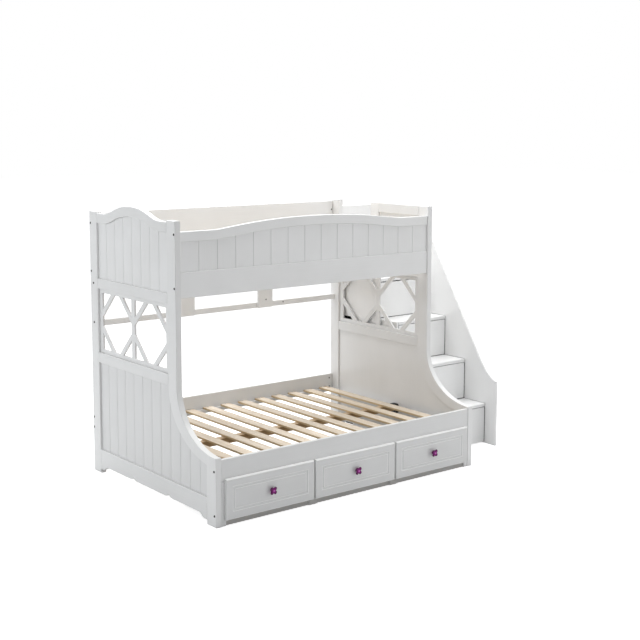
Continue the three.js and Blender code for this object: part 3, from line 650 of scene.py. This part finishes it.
def black_plastic(name):
    """Black moulded plastic, its fine spark-eroded grain a little glossier where it is rubbed."""
    made = bpy.data.materials.new(name)
    tree = blank_tree(made)
    places = add_node(tree, "ShaderNodeTexCoord").outputs["Object"]
    cells = add_node(
        tree, "ShaderNodeTexVoronoi", {"Vector": places, "Scale": 900.0}
    ).outputs["Distance"]
    clouds = noise(tree, places, scale=60.0, detail=3.0)
    deep_black = (0.006, 0.006, 0.0065, 1)
    worn_black = (0.016, 0.016, 0.017, 1)
    colour = blended(tree, clouds, deep_black, worn_black)
    gloss = fitted(tree, clouds, noise_ends, (0.62, 0.48))
    close_shader(
        tree, cells, {"Base Color": colour, "Roughness": gloss}, strength=0.3, depth=0.0002
    )
    return made


def creased_mesh(name, shape, material):
    """A worked shape as a mesh that is smooth over its rounds and sharp at its corners."""
    mesh = shaped_mesh(name, shape, material)
    mesh.shade_smooth()
    mesh.set_sharp_from_angle(angle=math.radians(28))
    return mesh


def join_rings(shape, rings):
    """A band of faces between each ring of points and the next, closed all round."""
    for ring, other in zip(rings, rings[1:]):
        for step in range(len(ring)):
            after = (step + 1) % len(ring)
            shape.faces.new((ring[step], ring[after], other[after], other[step]))


def beam_socket(name, panel_face, mouth, material):
    """A cup for the end of the beam: an arched sleeve from the panel to the mouth, and a back wall."""
    low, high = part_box("centre_beam")
    side, under, over, gap, wall, arch = 0.0065, 0.018, 0.0045, 0.0004, 0.0015, 0.012
    arch_steps = 8
    arch_z = high.z + over - arch
    outer = [(high.y + side, low.z - under), (low.y - side, low.z - under)]
    for start, arch_y in ((math.pi, low.y - side + arch), (quarter, high.y + side - arch)):
        for step in range(arch_steps + 1):
            turn = start - quarter * step / arch_steps
            outer.append((arch_y + arch * math.cos(turn), arch_z + arch * math.sin(turn)))
    opening = [(high.y + gap, low.z - gap), (low.y - gap, low.z - gap),
               (low.y - gap, high.z + gap), (high.y + gap, high.z + gap)]
    floor_x = panel_face + math.copysign(wall, mouth - panel_face)
    shape = bmesh.new()
    back = [shape.verts.new((panel_face, y, z)) for y, z in outer]
    rim = [shape.verts.new((mouth, y, z)) for y, z in outer]
    lip = [shape.verts.new((mouth, y, z)) for y, z in opening]
    floor_ring = [shape.verts.new((floor_x, y, z)) for y, z in opening]
    join_rings(shape, [back, rim])
    join_rings(shape, [lip, floor_ring])
    shape.faces.new(back)
    shape.faces.new(floor_ring)
    left_corner = 2 + arch_steps // 2
    right_corner = left_corner + arch_steps + 1
    shape.faces.new((rim[0], rim[1], lip[1], lip[0]))
    shape.faces.new([*rim[1:left_corner + 1], lip[2], lip[1]])
    shape.faces.new([*rim[left_corner:right_corner + 1], lip[3], lip[2]])
    shape.faces.new([*rim[right_corner:], rim[0], lip[0], lip[3]])
    bmesh.ops.recalc_face_normals(shape, faces=shape.faces)
    return creased_mesh(name, shape, material)


socket_plastic = black_plastic("beam_socket_plastic")
socket_reach = 0.034
for end, panel_face, inward in (("left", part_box("left_lower_panel")[1].x, 1),
                                ("right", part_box("right_lower_panel")[0].x, -1)):
    mouth = panel_face + inward * socket_reach
    cup = beam_socket(f"beam_socket_{end}", panel_face, mouth, socket_plastic)
    place_piece(f"beam_socket_{end}", cup, "bed_frame")


# Round steel nuts, flush in the inner faces of the side rails and the guard, one for each of their bolts.
# Two plain screws show as well, in a short upright board of the back frame and in its lower bar.
plated_steel = dark_steel("plated_nut_steel", tone=0.10, rough=0.34)
nuts = []
for rail, heights, inset, way in (
    ("upper_back_guard", (1.609, 1.302), 0.050, -1), ("lower_back_rail", (0.354, 0.290), 0.067, -1),
    ("upper_front_rail", (1.297,), 0.050, 1), ("lower_front_rail", (0.319,), 0.067, 1),
):
    low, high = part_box(rail)
    face = low.y if way < 0 else high.y
    rows = [(x, face, height) for x in (left_out + inset, right_out - inset) for height in heights]
    nuts.append(grown_mesh(
        f"{rail}_nuts", head_tree,
        {"Radius": 0.0058, "Rise": 0.0005, "Socket": 0.0016, "Sides": 4,
         "Facing": (-way * quarter, 0, 0), "Steel": plated_steel}, rows,
    ))
place_piece("rail_barrel_nuts", joined_mesh("rail_barrel_nuts", nuts), "bed_frame")
strut_screw = (left_out + 1.334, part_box("back_frame_right_strut")[0].y, 1.003)
bar_screw = (left_out + 1.497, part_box("back_frame_lower_bar")[0].y, 0.970)
frame_screws = grown_mesh(
    "back_frame_screws", head_tree,
    {"Radius": 0.0052, "Rise": 0.0008, "Socket": 0.0020, "Sides": 4, "Facing": (quarter, 0, 0),
     "Steel": plated_steel},
    [strut_screw, bar_screw],
)
place_piece("back_frame_screws", frame_screws, "bed_frame")


# Three wide drawers roll out at the front: a lapped front with a routed border, and a plain box.
# The front is screwed on from inside the box, and one flower knob is bolted through its middle.
def routed_front(name, low, high, material):
    """A drawer front with eased edges and a shallow cove routed round it, inside a plain border.

    Each ring is an inset from the edge, a place in Y, and how much painted highlight, partly wear, the
    faces that lead to it take.
    """
    border, cove, depth, ease = 0.046, 0.016, 0.0050, 0.005
    ease_steps, cove_steps = 3, 10
    highlit_strip, lip_strip, side_highlight_share = 0.002, 0.0015, 0.15
    lip_highlights = {0: 0.8, 1: 0.4, cove_steps: 0.4}
    rings = [(0.0, high.y, 0.0), (0.0, low.y + ease, 1.0)]
    for step in range(1, ease_steps + 1):
        turn = quarter * step / ease_steps
        rings.append((ease * (1 - math.cos(turn)), low.y + ease * (1 - math.sin(turn)), 1.0))
    rings.append((ease + highlit_strip, low.y, 0.5))
    rings.append((border - lip_strip, low.y, 0.0))
    for step in range(cove_steps + 1):
        share = step / cove_steps
        hollow_y = low.y + depth * math.sin(math.pi * share)
        rings.append((border + cove * share, hollow_y, lip_highlights.get(step, 0.0)))
    rings.append((border + cove + lip_strip, low.y, 0.8))
    shape = bmesh.new()
    arris_highlights = shape.faces.layers.float.new("front_arris_highlight")
    loops = [
        [shape.verts.new((x, y, z))
         for x, z in ((low.x + inset, low.z + inset), (high.x - inset, low.z + inset),
                      (high.x - inset, high.z - inset), (low.x + inset, high.z - inset))]
        for inset, y, _ in rings
    ]
    for outer, inner, (inset, _, worn_and_highlit) in zip(loops, loops[1:], rings[1:]):
        for corner in range(4):
            face = shape.faces.new(
                (outer[corner], outer[corner - 1], inner[corner - 1], inner[corner])
            )
            # Painted highlight: the top and the cove take it in full, the sides of the eased edge less.
            on_top = corner == 3
            face[arris_highlights] = worn_and_highlit if on_top or inset > border / 2 else worn_and_highlit * side_highlight_share
    shape.faces.new(loops[-1])
    shape.faces.new(list(reversed(loops[0])))
    bmesh.ops.recalc_face_normals(shape, faces=shape.faces)
    return creased_mesh(name, shape, material)


def petal_reach(turn):
    """How far the knob reaches at this turn, from the notch between two round petals to a tip."""
    spread, petal = 0.0156, 0.0112
    lean = (turn % quarter) - quarter / 2
    beyond = max(0.0, petal ** 2 - (spread * math.sin(lean)) ** 2)
    return spread * math.cos(lean) + math.sqrt(beyond)


def flower_knob(name, middle, front, material):
    """A four-petalled knob: a lobed button with a domed eye on a flared neck, all turned to -Y."""
    shape = bmesh.new()
    depths = shape.verts.layers.float.new("petal_share")
    around, across, half_thick = 96, 22, 0.0045
    side_round, face_round = 0.55, 0.85
    tip_reach, furrow_depth, furrow_start = 0.0268, 0.0013, 0.008
    rows = []
    for row in range(1, across):
        lean = math.pi * row / across
        spread = math.sin(lean) ** side_round
        rise = math.copysign(abs(math.cos(lean)) ** face_round, math.cos(lean)) * half_thick
        ring = []
        for step in range(around):
            turn = 2 * math.pi * step / around
            reach = petal_reach(turn) * spread
            furrow = 0
            if rise > 0:
                crease = 1 - abs(math.sin(2 * turn))
                furrow = furrow_depth * crease * min(1, reach / furrow_start)
            vert = shape.verts.new((
                middle.x + reach * math.cos(turn), front + half_thick - rise + furrow,
                middle.z + reach * math.sin(turn),
            ))
            vert[depths] = min(1.0, reach / tip_reach)
            ring.append(vert)
        rows.append(ring)
    join_rings(shape, rows)
    shape.faces.new(rows[0])
    shape.faces.new(list(reversed(rows[-1])))
    eye_radius, eye_back, eye_dome = 0.0070, 0.0022, 0.55
    eye_sides, eye_bands = 32, 12
    eye = []
    for band in range(1, eye_bands):
        lean = math.pi * band / eye_bands
        turns = [2 * math.pi * step / eye_sides for step in range(eye_sides)]
        eye.append([
            shape.verts.new((
                middle.x + eye_radius * math.sin(lean) * math.cos(turn),
                front + eye_back + eye_dome * eye_radius * math.sin(lean) * math.sin(turn),
                middle.z + eye_radius * math.cos(lean),
            ))
            for turn in turns
        ])
    join_rings(shape, eye)
    for ring, height in ((eye[0], eye_radius), (eye[-1], -eye_radius)):
        pole = shape.verts.new((middle.x, front + eye_back, middle.z + height))
        for step in range(eye_sides):
            shape.faces.new((pole, ring[step], ring[(step + 1) % eye_sides]))
    neck_sides, neck_share = 32, 0.5
    neck_profile = ((0.0070, 0.0060), (0.0062, 0.0110), (0.0064, 0.0160), (0.0086, 0.0215),
                    (0.0100, 0.0240))
    neck = []
    for radius, back in neck_profile:
        turns = [2 * math.pi * step / neck_sides for step in range(neck_sides)]
        neck.append([
            shape.verts.new((
                middle.x + radius * math.cos(turn), front + back, middle.z + radius * math.sin(turn),
            ))
            for turn in turns
        ])
    join_rings(shape, neck)
    shape.faces.new(neck[0])
    shape.faces.new(list(reversed(neck[-1])))
    for ring in neck:
        for vert in ring:
            vert[depths] = neck_share
    bmesh.ops.recalc_face_normals(shape, faces=shape.faces)
    mesh = shaped_mesh(name, shape, material)
    mesh.shade_smooth()
    return mesh


def knob_plastic(name):
    """Tinted glossy plastic: a paler pink eye, deep magenta petals, darkest at their tips."""
    made = bpy.data.materials.new(name)
    tree = blank_tree(made)
    share = add_node(tree, "ShaderNodeAttribute", attribute_name="petal_share").outputs["Fac"]
    places = add_node(tree, "ShaderNodeTexCoord").outputs["Object"]
    swirl = noise(tree, places, scale=160.0, detail=3.0, distortion=1.2)
    swayed = worked_out(tree, "MULTIPLY_ADD", swirl, 0.25, share)
    colour = add_node(tree, "ShaderNodeValToRGB", {"Fac": swayed})
    ramp = colour.color_ramp
    ramp.elements[0].position = 0.10
    ramp.elements[0].color = (0.62, 0.13, 0.52, 1)
    ramp.elements[1].position = 1.0
    ramp.elements[1].color = (0.075, 0.002, 0.058, 1)
    middle = ramp.elements.new(0.36)
    middle.color = (0.25, 0.006, 0.19, 1)
    close_shader(
        tree, swirl,
        {"Base Color": colour.outputs[0], "Roughness": 0.34, "Specular IOR Level": 0.2,
         "Coat Weight": 0.03, "Coat Roughness": 0.08, "Subsurface Weight": 0.15,
         "Subsurface Radius": (0.006, 0.001, 0.004), "Subsurface Scale": 0.6},
        strength=0.12, depth=0.0002,
    )
    return made


knob_magenta = knob_plastic("knob_magenta")
for bay in (1, 2, 3):
    body = f"bed_drawer_{bay}"
    low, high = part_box(f"{body}_front")
    # The fronts are painted darker as painted shade, and their marked arrises paler as painted highlight.
    front_lacquer = white_lacquer(
        f"{body}_front_lacquer", "x", 0.86, 22.0 + bay, corner_shade=1.0, wear_and_highlight=1.16, highlight_attribute_name="front_arris_highlight"
    )
    place_piece(
        f"{body}_routed_front", routed_front(f"{body}_routed_front", low, high, front_lacquer),
        body, [f"{body}_front"],
    )
    finish_board(f"{body}_box", white_lacquer(f"{body}_box_lacquer", "y", 0.96, 26.0 + bay))
    knob_low, knob_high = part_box(f"{body}_knob")
    place_piece(
        f"{body}_flower_knob",
        flower_knob(f"{body}_flower_knob", (knob_low + knob_high) / 2, knob_low.y, knob_magenta),
        body, [f"{body}_knob"],
    )


# The drawer staircase: two side boards, a rear board, a landing and three treads.
# All are lacquered board, dowelled and screwed together, and bolted to the bed's right end.
# The rear board's inner face is painted black as painted shade, up to the height of the notch beside it.
notch_height, black_shade_share = 0.83, 0.03
rear_painted_black = (notch_height, black_shade_share, (0, -1, 0), whole_width)
# Their shades are raised as painted light, and their corners and gaps are painted nearly black as painted
# shade.
for lot, (piece, painted_light_level, reach, low_shade) in enumerate((
    ("stair_guard_panel", 1.06, 0.010, None), ("stair_bed_side_panel", 1.09, 0.006, None),
    ("stair_rear_panel", 1.09, 0.010, rear_painted_black),
)):
    finish_board(piece, white_lacquer(
        f"{piece}_lacquer", "z", painted_light_level, 30.0 + lot, reach, corner_shade=0.05, wear_and_highlight=0.90, low_shade=low_shade
    ))
# The treads are raised as painted light, and their corners painted nearly black as painted shade.
for lot, piece in enumerate(("stair_landing", "stair_tread_1", "stair_tread_2", "stair_tread_3")):
    finish_board(
        piece, white_lacquer(f"{piece}_lacquer", "x", 1.09, 34.0 + lot, corner_shade=0.05, wear_and_highlight=0.90)
    )


# The bottom board under the staircase's drawers: rough pine, painted black as painted shade, let in
# between the sides.
# It runs from the toe to the rear board, farther than the imported board of which it takes the place.
base_low, base_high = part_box("stair_base")
base_fit, base_edge = 0.0003, 0.0006
base_far = (base_high.x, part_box("stair_rear_panel")[0].y - base_fit, base_high.z)
base_painted_black = bare_pine(
    "base_painted_black", "x", pale=(0.020, 0.018, 0.016), deep=(0.010, 0.009, 0.008)
)
place_piece(
    "stair_bottom_board",
    sawn_board("stair_bottom_board", base_low, base_far, base_edge, base_painted_black),
    "bed_frame", ["stair_base"],
)


# Four drawers stand under the treads, one to a step, each with a flush front and no pull.
# A hand takes the front by its lower or upper edge, where a narrow gap is left.
# Each step's front takes its own painted light and shade, and its corners and gaps are painted nearly
# black as painted shade.
for step, painted_light_level in ((1, 1.01), (2, 1.14), (3, 1.16), (4, 1.14)):
    drawer = f"stair_drawer_{step}"
    finish_board(
        f"{drawer}_front",
        white_lacquer(f"{drawer}_front_lacquer", "x", painted_light_level, 40.0 + step, corner_shade=0.05, wear_and_highlight=0.85),
    )
    finish_board(f"{drawer}_box", white_lacquer(f"{drawer}_box_lacquer", "y", 0.97, 46.0 + step))
